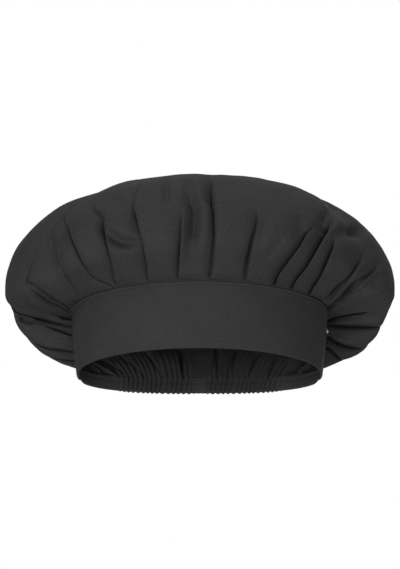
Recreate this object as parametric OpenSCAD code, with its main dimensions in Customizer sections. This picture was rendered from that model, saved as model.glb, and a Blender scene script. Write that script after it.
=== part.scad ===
// Balloon-style chef hat: a gathered cloth crown on a stiffened front band, with an elasticated hem behind.
// The rim lies in the plane z = 0, the front faces -Y, and y = 0 is the ear line, where the opening is widest.

/* [Head opening] */
// Half the width of the opening, to the middle of the band's layers
opening_half_w = 94.5; // [84:0.5:106]
// Reach of the opening in front of the ear line
opening_front = 103; // [90:1:116]
// Reach of the opening behind the ear line
opening_rear = 66; // [56:1:80]
// How square the back of the opening is, where 2 is an ellipse
rear_squareness = 2.6; // [2:0.1:3.2]

/* [Cloth] */
// Thickness of the cloth
cloth_t = 0.6; // [0.4:0.1:0.9]
// Room between a sewn-in edge and the layers on each side of it
layer_gap = 0.15; // [0.12:0.01:0.25]

/* [Band] */
// Height of the band
band_h = 50; // [40:1:60]
// How far the band leans outwards over its height
band_flare = 4; // [0:0.5:7]
// Length of the band from end to end, along its middle layer
band_len = 352; // [330:1:372]
// Depth of the crown's edge sewn into the top of the band
crown_tuck = 10; // [6:1:14]

/* [Rear hem] */
// Height of the casing
casing_h = 10; // [9:0.5:14]
// Clear width of the casing's tunnel
tunnel_w = 3; // [2.8:0.1:4]
// Depth of the crown's edge sewn into the casing
hem_tuck = 3; // [2:0.5:3.5]
// Distance along the rim between the end of the band and the casing
join_w = 1.5; // [1:0.5:5]
// Width of the elastic tape
elastic_w = 5; // [4:0.1:5.2]
// Thickness of the elastic tape
elastic_t = 1; // [0.8:0.1:1.1]
// Relaxed length of the elastic tape
elastic_len = 116; // [90:1:140]
// Number of ruffles that the elastic draws up
ruffles = 24; // [16:1:30]
// Depth of a ruffle, crest to hollow
ruffle_depth = 1.4; // [0.6:0.1:1.4]

/* [Crown] */
// Half the width of the crown at its widest line
crown_half_w = 149; // [138:1:160]
// Reach of the crown in front of the ear line
crown_front = 136; // [128:1:146]
// Reach of the crown behind the ear line
crown_rear = 112; // [106:1:126]
// Height of the top of the crown above the rim
crown_top = 149; // [130:1:165]
// How far behind the ear line the top of the crown is
crown_top_back = -4; // [-15:1:15]
// Height of the widest line at the front
widest_front_z = 84; // [76:1:94]
// Height of the widest line at the sides
widest_side_z = 62; // [62:1:76]
// Height of the widest line over the ends of the casing, where the crown sags lowest
widest_hip_z = 43; // [38:1:50]
// Height of the widest line at the back
widest_rear_z = 56; // [46:1:62]
// How far round to the front the crown hangs from the ends of the band, in degrees
band_end_turn = 5; // [0:0.5:6]
// How far round to the back the crown hangs from the ends of the casing, in degrees
casing_end_turn = 13; // [8:1:18]
// How steeply the underside leaves its seam, where 1 is straight towards the widest line
under_leave = 1.2; // [1:0.05:1.3]
// How much less steeply it leaves the ends of the casing
hip_leave_less = 0.35; // [0:0.05:0.5]
// Share of the underside's width in which it bends, at the seam and at the widest line
under_bend = 0.4; // [0.3:0.02:0.5]
// How much less it bends below the widest line at the back
rear_bend_less = 0.65; // [0:0.05:0.8]
// Fullness of the dome, where 2 is a quarter ellipse
dome_fullness = 2.26; // [2:0.02:2.5]
// How much fuller the dome is at the sides
side_fullness = 0.16; // [0:0.02:0.3]
// Number of knife pleats sewn into the band
pleats = 14; // [13:1:15]
// How far the pleats are drawn in towards the middle of the band
pleat_crowding = 18; // [0:1:20]
// How far the middle pleat is moved to the right
pleat_shift = 7; // [-7:1:7]
// Depth of a pleat
pleat_depth = 6; // [2:0.5:7]
// Number of gathers drawn into the casing
gathers = 12; // [8:1:13]
// Depth of a gather
gather_depth = 7; // [2:0.5:8]

/* [Stitching] */
// Thickness of the sewing thread
thread_d = 0.5; // [0.3:0.05:0.7]
// Length of a stitch that shows
stitch_len = 1.8; // [1.2:0.1:2]
// Distance from one stitch to the next
stitch_pitch = 2.4; // [2.2:0.1:4]
// Distance of the top stitching from the band's upper edge
topstitch_in = 1.3; // [1:0.1:4]
// Distance of the casing's stitching from its upper edge
hem_stitch_in = 1.5; // [1:0.1:2]
// Number of threads across a bartack
tack_threads = 12; // [6:1:12]
// Distance from one bartack thread to the next
tack_pitch = 0.62; // [0.55:0.01:0.68]
// Length of a bartack thread
tack_len = 2.6; // [2:0.1:4]

/* [Label] */
// Height of the folded label
label_h = 5; // [3:0.5:8]
// How far the label stands out of the seam
label_out = 4; // [3:0.5:8]
// Thickness of the label's ribbon
label_t = 0.3; // [0.2:0.05:0.5]
// Distance from the top of the band down to the label's upper edge
label_down = 8; // [5:0.5:16]
// Distance from the end of the band to the label
label_in = 2.5; // [1.5:0.5:6]

/* [Hidden] */
$fn = 32;

charcoal = [0.2, 0.2, 0.2];
facing_grey = [0.16, 0.16, 0.16];
interlining_grey = [0.75, 0.75, 0.72];
elastic_black = [0.1, 0.1, 0.1];
thread_grey = [0.26, 0.26, 0.26];
label_white = [0.85, 0.85, 0.83];

// Offsets of the band's layers from the middle of the sewn-in crown edge
layer_in = cloth_t / 2 + layer_gap;
layer_out = layer_in + cloth_t;
// Offsets of the casing's walls from the middle of its tunnel
wall_in = tunnel_w / 2;
wall_out = wall_in + cloth_t;
// How far a thread is sunk into the cloth that it is sewn through
thread_sink = thread_d * 0.3;
label_fold_r = 0.15 + label_t;

// The rim's outline

function signed_power(v, p) = sign(v) * pow(abs(v), p);

// Point of an oval at an angle from the front, turning towards +X
function oval(angle, half_w, front, rear, squareness) =
    let (power = cos(angle) < 0 ? 2 / squareness : 1)
    [half_w * signed_power(sin(angle), power),
     -(cos(angle) < 0 ? rear : front) * signed_power(cos(angle), power)];

function opening_at(angle) = oval(angle, opening_half_w, opening_front, opening_rear, rear_squareness);

angle_step = 2;
half_points = [for (angle = [0 : angle_step : 180]) opening_at(angle)];
half_lengths = [for (i = 0, run = 0; i < len(half_points); i = i + 1,
    run = run + (i < len(half_points) ? norm(half_points[i] - half_points[i - 1]) : 0)) run];
angle_table = [for (i = [0 : len(half_points) - 1]) [half_lengths[i], i * angle_step]];

// Lengths along the rim, measured from the middle of the front
half_rim = half_lengths[len(half_lengths) - 1];
band_end = band_len / 2;
casing_end = band_end + join_w;
elastic_end = half_rim - elastic_len / 2;

// Angle from the front of a point a length along the rim
// On the left side the length is negative, and past the back it is over half the rim
function angle_at(run) =
    run > half_rim ? 360 - angle_at(2 * half_rim - run) :
    run < 0 ? -angle_at(-run) : lookup(run, angle_table);

function rim_middle(run) = opening_at(angle_at(run));

// Direction along the rim, and the way out of the hat, at a length along the rim
function along_at(run) = let (d = rim_middle(run + 0.5) - rim_middle(run - 0.5)) d / norm(d);
function outward_at(run) = let (d = along_at(run)) [d.y, -d.x];

// Point at a length along the rim, a height and an offset outwards from the middle layer
function on_rim(run, z, off) =
    let (p = rim_middle(run) + outward_at(run) * (off + band_flare * z / band_h)) [p.x, p.y, z];

function spaced(from, to, steps) = [for (i = [0 : steps]) from + (to - from) * i / steps];

function smooth_step(low, high, v) =
    let (t = min(1, max(0, (v - low) / (high - low)))) t * t * (3 - 2 * t);

// A solid through a row of closed loops of points, with its ends closed by the faces in caps
module skin(loops, caps) {
    n = len(loops[0]);
    last = (len(loops) - 1) * n;
    walls = [for (i = [0 : len(loops) - 2]) for (k = [0 : n - 1])
        let (a = i * n + k, b = i * n + (k + 1) % n)
        each [[a, b, b + n], [a, b + n, a + n]]];
    starts = [for (face = caps) [for (k = [len(face) - 1 : -1 : 0]) face[k]]];
    ends = [for (face = caps) [for (k = face) last + k]];
    polyhedron([for (loop = loops) each loop], concat(walls, starts, ends), convexity = 8);
}

// A strip of rectangular section along the rim, between two offsets and two heights
module strip(runs, off_in, off_out, z_low, z_high) {
    skin([for (run = runs) [on_rim(run, z_low, off_in), on_rim(run, z_high, off_in),
        on_rim(run, z_high, off_out), on_rim(run, z_low, off_out)]], [[0, 1, 2, 3]]);
}

// The front band

pleat_steps = 3;
band_steps = pleats * pleat_steps;

// The band's steps, shared by its layers so that they lie face to face
function band_runs() = spaced(-band_end, band_end, band_steps * 2);

// Outer cloth, turned under at the lower edge to close the band
module band_outer() color(charcoal) skin(
    [for (run = band_runs()) [
        on_rim(run, 0, layer_out),
        on_rim(run, 0, -layer_out),
        on_rim(run, cloth_t, -layer_out),
        on_rim(run, cloth_t, layer_in),
        on_rim(run, band_h, layer_in),
        on_rim(run, band_h, layer_out)]],
    [[0, 1, 2, 3], [0, 3, 4, 5]]);

// Stiffener fused between the two cloths, below the crown's sewn-in edge
module band_interlining() color(interlining_grey)
    strip(band_runs(), -layer_in, layer_in, cloth_t, band_h - crown_tuck - layer_gap);

// Inner cloth, against the head
module band_facing() color(facing_grey) strip(band_runs(), -layer_out, -layer_in, cloth_t, band_h);

// The elasticated hem

// Offset of the ruffled casing at a length along the rim, fading out at the ends of the elastic
function ruffle_at(run) =
    let (share = (run - elastic_end) / elastic_len)
    share <= 0 || share >= 1 ? 0 :
    ruffle_depth / 2 * sin(360 * ruffles * share) * min(1, 6 * share, 6 * (1 - share));

ruffle_steps = 4;
plain_steps = 12;
function casing_runs() = concat(
    spaced(casing_end, elastic_end, plain_steps),
    [for (run = spaced(elastic_end, elastic_end + elastic_len, ruffles * ruffle_steps))
        if (run > elastic_end && run < elastic_end + elastic_len) run],
    spaced(elastic_end + elastic_len, 2 * half_rim - casing_end, plain_steps));

function casing_at(run, z, off) = on_rim(run, z, off + ruffle_at(run));

// Binding folded round the crown's rear edge to make a tunnel for the elastic
module rear_casing() color(charcoal) skin(
    [for (run = casing_runs()) [
        casing_at(run, 0, wall_out),
        casing_at(run, 0, -wall_out),
        casing_at(run, casing_h, -wall_out),
        casing_at(run, casing_h, -wall_in),
        casing_at(run, cloth_t, -wall_in),
        casing_at(run, cloth_t, wall_in),
        casing_at(run, casing_h, wall_in),
        casing_at(run, casing_h, wall_out)]],
    [[0, 5, 6, 7], [0, 1, 4, 5], [1, 2, 3, 4]]);

// Elastic tape, standing on the floor of the tunnel
module rear_elastic() color(elastic_black)
    strip(spaced(elastic_end, elastic_end + elastic_len, ruffles),
        -elastic_t / 2, elastic_t / 2, cloth_t, cloth_t + elastic_w);

// The crown

rear_len = 2 * (half_rim - casing_end);
gather_steps = 2 * gathers;
// Share of the join's width at which the crown leaves the end of the band
leave_share = 0.7;
band_leave = band_end + join_w * leave_share;
// Length along the band at a share of the pleats, from -1 at its left end to 1 at its right end
function pleat_run(share) =
    band_leave * share + (pleat_shift - pleat_crowding * share) * pow(1 - share * share, 2);
crown_runs = concat(
    [for (share = spaced(-1, 1, band_steps)) pleat_run(share)],
    spaced(casing_end, casing_end + rear_len, gather_steps));
stations = len(crown_runs);

function in_band(i) = i <= band_steps;

// Height of the seam that holds the crown's edge, and the depth of the edge below it
function seam_z(i) = in_band(i) ? band_h + 2 * layer_gap : casing_h;
function tuck_depth(i) = in_band(i) ? crown_tuck + 2 * layer_gap : hem_tuck;

// Angle from the front of a station's widest point, evenly spread over the band and behind it
band_end_angle = angle_at(band_leave) - band_end_turn;
casing_end_angle = angle_at(casing_end) + casing_end_turn;
function crown_angle(i) = in_band(i) ? band_end_angle * crown_runs[i] / band_leave :
    casing_end_angle + (360 - 2 * casing_end_angle) * (crown_runs[i] - casing_end) / rear_len;

// Share of a fold's depth at a station: a sawtooth for the knife pleats, crests and hollows for the gathers
function fold_at(i) = in_band(i) ?
    pleat_depth * (0.5 - (i % pleat_steps) / (pleat_steps - 1)) :
    gather_depth * (0.5 - (i - band_steps - 1) % 2);

function widest_z(angle) =
    widest_side_z
    + (widest_front_z - widest_side_z) * pow(max(0, cos(angle)), 1.5)
    + (widest_hip_z - widest_side_z) * smooth_step(0, 0.5, -cos(angle))
    + (widest_rear_z - widest_hip_z) * smooth_step(0.55, 1, -cos(angle));

function crown_widest(angle) =
    let (p = oval(angle, crown_half_w, crown_front, crown_rear, 2)) [p.x, p.y, widest_z(angle)];

// The way out from the hat's middle to a point, level
function level_way(p) = [p.x, p.y, 0] / norm([p.x, p.y]);

// Rings of the crown from its seam to its widest line and on to its top
// Each has its share of the way and its share of a fold's depth
under_rings = [[0.35, 0.5], [0.7, 0.95], [1, 1]];
dome_rings = [[0.22, 0.85], [0.42, 0.6], [0.62, 0.35], [0.82, 0.12]];

// Height of the underside's upper bend where the widest line is level with the seam
least_bend = 6;
// What that bend gains with the height between them
bend_gain = 0.6;

function bezier(a, b, c, d, t) =
    a * pow(1 - t, 3) + b * 3 * pow(1 - t, 2) * t + c * 3 * (1 - t) * pow(t, 2) + d * pow(t, 3);

function crown_under(i, ring) =
    let (seam = on_rim(crown_runs[i], seam_z(i), 0),
        widest = crown_widest(crown_angle(i)),
        chord = widest - seam,
        behind = widest.y / crown_rear,
        hip = smooth_step(0, 0.4, behind) * (1 - smooth_step(0.6, 1, behind)),
        slope = (under_leave - hip_leave_less * hip) * atan2(chord.z, norm([chord.x, chord.y])),
        leave = level_way(chord) * cos(slope) + [0, 0, sin(slope)],
        bend = under_bend * norm(chord),
        arrive = min(bend, bend_gain * max(0, chord.z) + least_bend)
            * (1 - rear_bend_less * smooth_step(0.6, 1, behind)))
    bezier(seam, seam + leave * bend, widest - [0, 0, arrive], widest, ring[0])
    + level_way(widest) * fold_at(i) * ring[1];

function crown_dome(i, ring) =
    let (widest = crown_widest(crown_angle(i)),
        turn = 90 * ring[0],
        power = 2 / (dome_fullness + side_fullness * pow(widest.x / crown_half_w, 4)),
        inward = [0, crown_top_back, 0],
        out = ([widest.x, widest.y, 0] - inward) * pow(cos(turn), power),
        up = (crown_top - widest.z) * pow(sin(turn), power),
        fold = fold_at(i) * ring[1])
    inward + out + [0, 0, widest.z + up] + level_way(widest) * fold * cos(turn) + [0, 0, fold * sin(turn)];

// The middle surface of the cloth as rings of points, from the sewn-in edge up
crown_rings = concat(
    [[for (i = [0 : stations - 1]) on_rim(crown_runs[i], seam_z(i) - tuck_depth(i), 0)],
     [for (i = [0 : stations - 1]) on_rim(crown_runs[i], seam_z(i), 0)]],
    [for (ring = under_rings) [for (i = [0 : stations - 1]) crown_under(i, ring)]],
    [for (ring = dome_rings) [for (i = [0 : stations - 1]) crown_dome(i, ring)]]);
ring_count = len(crown_rings);
crown_tip = [0, crown_top_back, crown_top];

function ring_point(j, i) = j == ring_count ? crown_tip : crown_rings[j][(i + stations) % stations];

// Outward direction of the cloth at a point of a ring
function cloth_normal(j, i) =
    let (along = ring_point(j, i + 1) - ring_point(j, i - 1),
        up = ring_point(j + 1, i) - ring_point(max(0, j - 1), i),
        n = cross(along, up))
    n / norm(n);

function cloth_side(off) = concat(
    [for (j = [0 : ring_count - 1]) for (i = [0 : stations - 1]) ring_point(j, i) + cloth_normal(j, i) * off],
    [crown_tip + [0, 0, off]]);

// One circle of cloth, pleated into the band in front and gathered into the casing behind
module crown() {
    side = ring_count * stations + 1;
    tip = ring_count * stations;
    function at(j, i) = j * stations + i % stations;
    outer = concat(
        [for (j = [0 : ring_count - 2]) for (i = [0 : stations - 1])
            each [[at(j, i), at(j + 1, i + 1), at(j, i + 1)], [at(j, i), at(j + 1, i), at(j + 1, i + 1)]]],
        [for (i = [0 : stations - 1]) [at(ring_count - 1, i), tip, at(ring_count - 1, i + 1)]]);
    inner = [for (face = outer) [side + face[2], side + face[1], side + face[0]]];
    edge = [for (i = [0 : stations - 1])
        each [[at(0, i), at(0, i + 1), side + at(0, i + 1)], [at(0, i), side + at(0, i + 1), side + at(0, i)]]];
    color(charcoal)
        polyhedron(concat(cloth_side(cloth_t / 2), cloth_side(-cloth_t / 2)), concat(outer, inner, edge),
            convexity = 10);
}

// Stitching

// A straight thread along the rim, centred on a point
module thread_at(run, point, length) {
    d = along_at(run);
    translate(point) rotate([0, 90, atan2(d.y, d.x)]) cylinder(h = length, d = thread_d, center = true);
}

function stitch_runs(from, to) =
    let (count = floor((to - from) / stitch_pitch))
    [for (i = [0 : count - 1]) (from + to) / 2 + (i - (count - 1) / 2) * stitch_pitch];

thread_out = thread_d / 2 - thread_sink;

// Edge stitching that closes the band over the crown
module band_topstitch() color(thread_grey)
    for (run = stitch_runs(-band_end, band_end))
        thread_at(run, on_rim(run, band_h - topstitch_in, layer_out + thread_out), stitch_len);

// Stitching through both walls of the casing, above the elastic
module casing_stitch() color(thread_grey)
    for (run = stitch_runs(casing_end, 2 * half_rim - casing_end))
        for (off = [-wall_out - thread_out, wall_out + thread_out])
            thread_at(run, casing_at(run, casing_h - hem_stitch_in, off), stitch_len);

// A column of short threads, centred at a height
module bartack(run, off, z_middle, threads) color(thread_grey)
    for (i = [0 : threads - 1])
        thread_at(run, on_rim(run, z_middle + (i - (threads - 1) / 2) * tack_pitch, off), tack_len);

// Bartacks that hold the ends of the band, beside the casing
end_tack_run = band_end - tack_len;
module left_end_bartack() bartack(-end_tack_run, layer_out + thread_out, casing_h / 2, tack_threads);
module right_end_bartack() bartack(end_tack_run, layer_out + thread_out, casing_h / 2, tack_threads);

// Tacks that hold the ends of the elastic in the casing
elastic_tack_threads = floor(elastic_w / tack_pitch);
elastic_tack_run = elastic_end + tack_len / 2;
module elastic_tack(run)
    bartack(run, -wall_out - thread_out, cloth_t + elastic_w / 2, elastic_tack_threads);
module right_elastic_tack() elastic_tack(elastic_tack_run);
module left_elastic_tack() elastic_tack(2 * half_rim - elastic_tack_run);

// Blank folded label, sewn to the right end of the band
label_run = band_end - label_in;
label_z = band_h - label_down - label_h;
module size_label() {
    foot = on_rim(label_run, label_z, layer_out);
    way = outward_at(label_run);
    straight = label_out - label_fold_r;
    color(label_white) translate(foot) rotate([0, 0, atan2(way.y, way.x)]) linear_extrude(label_h)
        difference() {
            union() {
                translate([band_flare * label_h / band_h, -label_fold_r]) square([straight, 2 * label_fold_r]);
                translate([band_flare * label_h / band_h + straight, 0]) circle(label_fold_r);
            }
            translate([-label_t, label_t - label_fold_r])
                square([label_t + band_flare * label_h / band_h + straight, 2 * (label_fold_r - label_t)]);
            translate([band_flare * label_h / band_h + straight, 0]) circle(label_fold_r - label_t);
        }
}

crown();
band_outer();
band_interlining();
band_facing();
rear_casing();
rear_elastic();
band_topstitch();
casing_stitch();
left_end_bartack();
right_end_bartack();
left_elastic_tack();
right_elastic_tack();
size_label();
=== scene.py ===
"""A low, balloon-style chef hat in black twill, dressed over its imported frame.

The crown is one sheet of cloth, pleated into a stiff band in front and gathered into an elasticated hem
behind. Its folds start where the photograph shows them: each is a path of pixels, cast from the camera
onto the plain crown.
"""

import math
from collections import namedtuple

import bpy
import numpy as np
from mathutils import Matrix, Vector
from mathutils.bvhtree import BVHTree


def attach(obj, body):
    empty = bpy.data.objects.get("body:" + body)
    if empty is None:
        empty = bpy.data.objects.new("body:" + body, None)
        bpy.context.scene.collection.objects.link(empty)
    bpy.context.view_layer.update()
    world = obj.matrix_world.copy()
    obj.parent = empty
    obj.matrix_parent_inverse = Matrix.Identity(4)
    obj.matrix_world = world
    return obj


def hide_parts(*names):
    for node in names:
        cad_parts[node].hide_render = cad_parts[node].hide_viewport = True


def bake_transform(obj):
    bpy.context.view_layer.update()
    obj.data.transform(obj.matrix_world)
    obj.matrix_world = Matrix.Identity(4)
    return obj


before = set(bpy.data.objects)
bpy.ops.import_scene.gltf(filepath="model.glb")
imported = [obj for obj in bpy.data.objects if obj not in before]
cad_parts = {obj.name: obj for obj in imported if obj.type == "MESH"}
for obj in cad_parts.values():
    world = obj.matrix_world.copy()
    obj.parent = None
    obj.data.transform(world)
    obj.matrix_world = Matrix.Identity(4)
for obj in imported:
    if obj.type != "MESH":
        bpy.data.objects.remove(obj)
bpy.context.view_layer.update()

MM = 0.001
rng = np.random.default_rng(seed=11)

# Sizes of the opening, the band, the hem and the thread, as in the part's source

OPENING_HALF_W = 94.5 * MM
OPENING_FRONT = 103 * MM
OPENING_REAR = 66 * MM
REAR_SQUARENESS = 2.6

CLOTH_T = 0.6 * MM
# How far the faces of the band's cloths lie from its middle layer
LAYER_IN = 0.45 * MM
LAYER_OUT = 1.05 * MM
BAND_H = 50 * MM
BAND_FLARE = 4 * MM
# Length along the rim from the middle of the front to the end of the band
BAND_END = 176 * MM
JOIN_W = 1.5 * MM
CASING_H = 10 * MM
ELASTIC_LEN = 116 * MM

THREAD_D = 0.5 * MM
STITCH_LEN = 1.8 * MM
STITCH_PITCH = 2.4 * MM
TOPSTITCH_IN = 1.3 * MM
HEM_STITCH_IN = 1.5 * MM
TACK_THREADS = 12
TACK_PITCH = 0.62 * MM
TACK_LEN = 2.6 * MM
ELASTIC_TACK_THREADS = 8

# Sizes of the crown, whose cloth is a little wider and higher than the solid in the part's source

CROWN_HALF_W = 150 * MM
CROWN_FRONT = 136 * MM
CROWN_REAR = 112 * MM
CROWN_SQUARENESS = 2
CROWN_ASIDE = 0.8 * MM
CROWN_TIP = np.array([0, -4 * MM, 149.6 * MM])
# Where the crown hangs back on both sides of its front: angle from the front, half width and depth
HANG_BACKS = [(math.radians(-55), math.radians(9), 13 * MM), (math.radians(60), math.radians(11), 8 * MM)]
# Heights of the widest line
WIDEST_FRONT_Z = 84 * MM
WIDEST_SIDE_Z = 62 * MM
WIDEST_HIP_Z = 46 * MM
WIDEST_REAR_Z = 56 * MM
DOME_FULLNESS = 2.26
SIDE_FULLNESS = 0.16

# Camera, at the photograph's viewing angle

PHOTO_W, PHOTO_H = 400, 569
FOCAL_PX = 2958
ORIGIN_PX = (199.5, 376)
CAMERA_DISTANCE = 2.3
CAMERA_BELOW = math.radians(11.6)
SENSOR_MM = 36

camera_pitch = CAMERA_BELOW + math.atan((ORIGIN_PX[1] - PHOTO_H / 2) / FOCAL_PX)
camera_x = (PHOTO_W / 2 - ORIGIN_PX[0]) / FOCAL_PX * CAMERA_DISTANCE
camera_place = Vector((camera_x, -CAMERA_DISTANCE * math.cos(CAMERA_BELOW),
                       -CAMERA_DISTANCE * math.sin(CAMERA_BELOW)))


def add_object(name, data):
    new_object = bpy.data.objects.new(name, data)
    bpy.context.collection.objects.link(new_object)
    return new_object


camera = add_object("camera", bpy.data.cameras.new("camera"))
camera.location = camera_place
camera.rotation_euler = (math.pi / 2 + camera_pitch, 0, 0)
camera.data.sensor_width = SENSOR_MM
camera.data.lens = FOCAL_PX / PHOTO_H * SENSOR_MM
bpy.context.scene.camera = camera


def pixel_ray(x, y):
    """Direction from the camera through a pixel of the photograph."""
    ahead = Vector((0, math.cos(camera_pitch), math.sin(camera_pitch)))
    up = Vector((0, -math.sin(camera_pitch), math.cos(camera_pitch)))
    right = Vector((1, 0, 0))
    way = ahead + right * (x - PHOTO_W / 2) / FOCAL_PX + up * (PHOTO_H / 2 - y) / FOCAL_PX
    return way.normalized()


# Shapes of curves

TINY = 1e-12


def smooth_step(low, high, x):
    """Zero up to low, one from high on, and a smooth rise between them."""
    t = np.clip((x - low) / (high - low), 0, 1)
    return t * t * (3 - 2 * t)


def smooth_window(start, full, last, past, x):
    """One from full to last, zero up to start and from past on, and smooth between them."""
    return smooth_step(start, full, x) * (1 - smooth_step(last, past, x))


def bell(x, width):
    """One at zero, falling off on both sides."""
    return np.exp(-(x / width) ** 2)


def unit(vectors):
    """Vectors with the same directions, of length one."""
    return vectors / np.maximum(np.linalg.norm(vectors, axis=-1, keepdims=True), TINY)


# The rim of the head opening

def signed_power(x, power):
    return np.sign(x) * np.abs(x) ** power


def oval(angle, half_w, front, rear, squareness):
    """Point of an oval at an angle from the front, with a rear half that may be squarer than an ellipse."""
    across, ahead = np.sin(angle), np.cos(angle)
    power = np.where(ahead < 0, 2 / squareness, 1.0)
    depth = np.where(ahead < 0, rear, front)
    return half_w * signed_power(across, power), -depth * signed_power(ahead, power)


def opening_at(angle):
    return oval(angle, OPENING_HALF_W, OPENING_FRONT, OPENING_REAR, REAR_SQUARENESS)


RIM_STEPS = 8000
rim_angles = np.linspace(0, math.pi, RIM_STEPS + 1)
rim_steps = np.hypot(*np.diff(np.array(opening_at(rim_angles)), axis=1))
rim_lengths = np.concatenate([[0], np.cumsum(rim_steps)])
HALF_RIM = rim_lengths[-1]


def rim_middle(run):
    """Point of the opening at a length along its rim from the middle of the front, to the right."""
    wrapped = (run + HALF_RIM) % (2 * HALF_RIM) - HALF_RIM
    angle = np.sign(wrapped) * np.interp(np.abs(wrapped), rim_lengths, rim_angles)
    return np.stack(opening_at(angle), axis=-1)


def rim_frame(run):
    """Directions along the rim and out of the hat at a length along it."""
    step = 0.5 * MM
    along = unit(rim_middle(run + step) - rim_middle(run - step))
    return along, np.stack([along[..., 1], -along[..., 0]], axis=-1)


def on_rim(run, z, off):
    """Point at a length along the rim, a height and an offset outwards from the middle layer."""
    run, z, off = np.broadcast_arrays(np.asarray(run, float), z, off)
    outward = rim_frame(run)[1]
    flat = rim_middle(run) + outward * (off + BAND_FLARE * z / BAND_H)[..., None]
    return np.concatenate([flat, z[..., None]], axis=-1)


# Meshes

def make_piece(name, node, points, faces, flat, material):
    """A smooth mesh that stands for a node; flat gives each point or face corner its place on flat cloth."""
    mesh = bpy.data.meshes.new(name)
    mesh.from_pydata(np.asarray(points).tolist(), [], faces)
    corners = np.empty(len(mesh.loops), dtype=np.int32)
    mesh.loops.foreach_get("vertex_index", corners)
    layer = mesh.uv_layers.new(name="flat_cloth")
    flat = np.asarray(flat, dtype=np.float32)
    layer.data.foreach_set("uv", (flat if len(flat) == len(corners) else flat[corners]).ravel())
    mesh.polygons.foreach_set("use_smooth", np.ones(len(mesh.polygons), dtype=bool))
    mesh.update()
    mesh.materials.append(material)
    piece = add_object(name, mesh)
    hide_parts(node)
    return piece


def ring_faces(rings, around):
    """Quads between closed rings of points, which are stored ring by ring."""
    ring, place = np.meshgrid(np.arange(rings - 1), np.arange(around), indexing="ij")
    after = (place + 1) % around
    low, high = ring * around, (ring + 1) * around
    quads = np.stack([low + place, low + after, high + after, high + place], axis=-1)
    return quads.reshape(-1, 4).tolist()


def closed_faces(rings, around):
    """Those quads, with a face over each open end."""
    last = (rings - 1) * around
    ends = [list(range(around - 1, -1, -1)), list(range(last, last + around))]
    return ring_faces(rings, around) + ends


# Materials

def new_material(name):
    """A material with a Principled shader; gives the material, its node tree and the shader."""
    material = bpy.data.materials.new(name)
    material.use_nodes = True
    tree = material.node_tree
    return material, tree, tree.nodes["Principled BSDF"]


def set_inputs(tree, node, inputs):
    """Feed each socket from another one, or give it a value of its own."""
    for key, value in inputs.items():
        if isinstance(value, bpy.types.NodeSocket):
            tree.links.new(value, node.inputs[key])
        else:
            node.inputs[key].default_value = value


def add_node(tree, kind, inputs=None, **settings):
    node = tree.nodes.new(kind)
    for key, value in settings.items():
        setattr(node, key, value)
    set_inputs(tree, node, inputs or {})
    return node


def add_math(tree, operation, *values):
    return add_node(tree, "ShaderNodeMath", dict(enumerate(values)), operation=operation).outputs[0]


def add_ramp(tree, factor, *stops):
    """Colour ramp between two stops, each a place and a colour."""
    node = add_node(tree, "ShaderNodeValToRGB", {"Fac": factor})
    for element, (place, colour) in zip(node.color_ramp.elements, stops):
        element.position = place
        element.color = (*colour, 1)
    return node.outputs["Color"]


def add_noise(tree, inputs):
    return add_node(tree, "ShaderNodeTexNoise", inputs).outputs["Fac"]


# A wave texture repeats after this length of its vector
WAVE_PERIOD = 2 * math.pi / 20


def add_ribs(tree, place, pitch, direction, inputs, turn=0.0):
    """Ribs of a real pitch that follow each other in a direction, turned in the plane of the cloth."""
    scale = WAVE_PERIOD / pitch
    turned = add_node(tree, "ShaderNodeMapping",
                      {"Vector": place, "Scale": (scale, scale, scale), "Rotation": (0, 0, turn)})
    wave = add_node(tree, "ShaderNodeTexWave", {"Vector": turned.outputs[0], "Scale": 1.0, **inputs},
                    bands_direction=direction)
    return wave.outputs["Fac"]


def add_bump(tree, height, distance):
    bump = add_node(tree, "ShaderNodeBump", {"Height": height, "Strength": 0.4, "Distance": distance})
    return bump.outputs["Normal"]


def shade(base, share):
    return tuple(c * share for c in base)


TWILL_ANGLE = math.radians(52)
# The weft lies closer than the ribs, and lowers them by half at most
WEFT_CLOSER = 1.6
WEFT_RELIEF, WEFT_LEAST = 0.45, 0.5
# The fuzz stands half as high as the weave
FUZZ_RELIEF = 0.5
# What adds to the tone, the tones of its darkest and lightest colours, and their shares of the base colour
TONE_WEAVE, TONE_FUZZ, TONE_BLOTCH = 0.30, 0.50, 0.24
TONE_DARK, TONE_LIGHT = 0.12, 0.82
DARK_SHARE, LIGHT_SHARE = 0.45, 1.75
ROUGHNESS_SPREAD = 0.06
CLOTH_BUMP = 0.25 * MM


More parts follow.
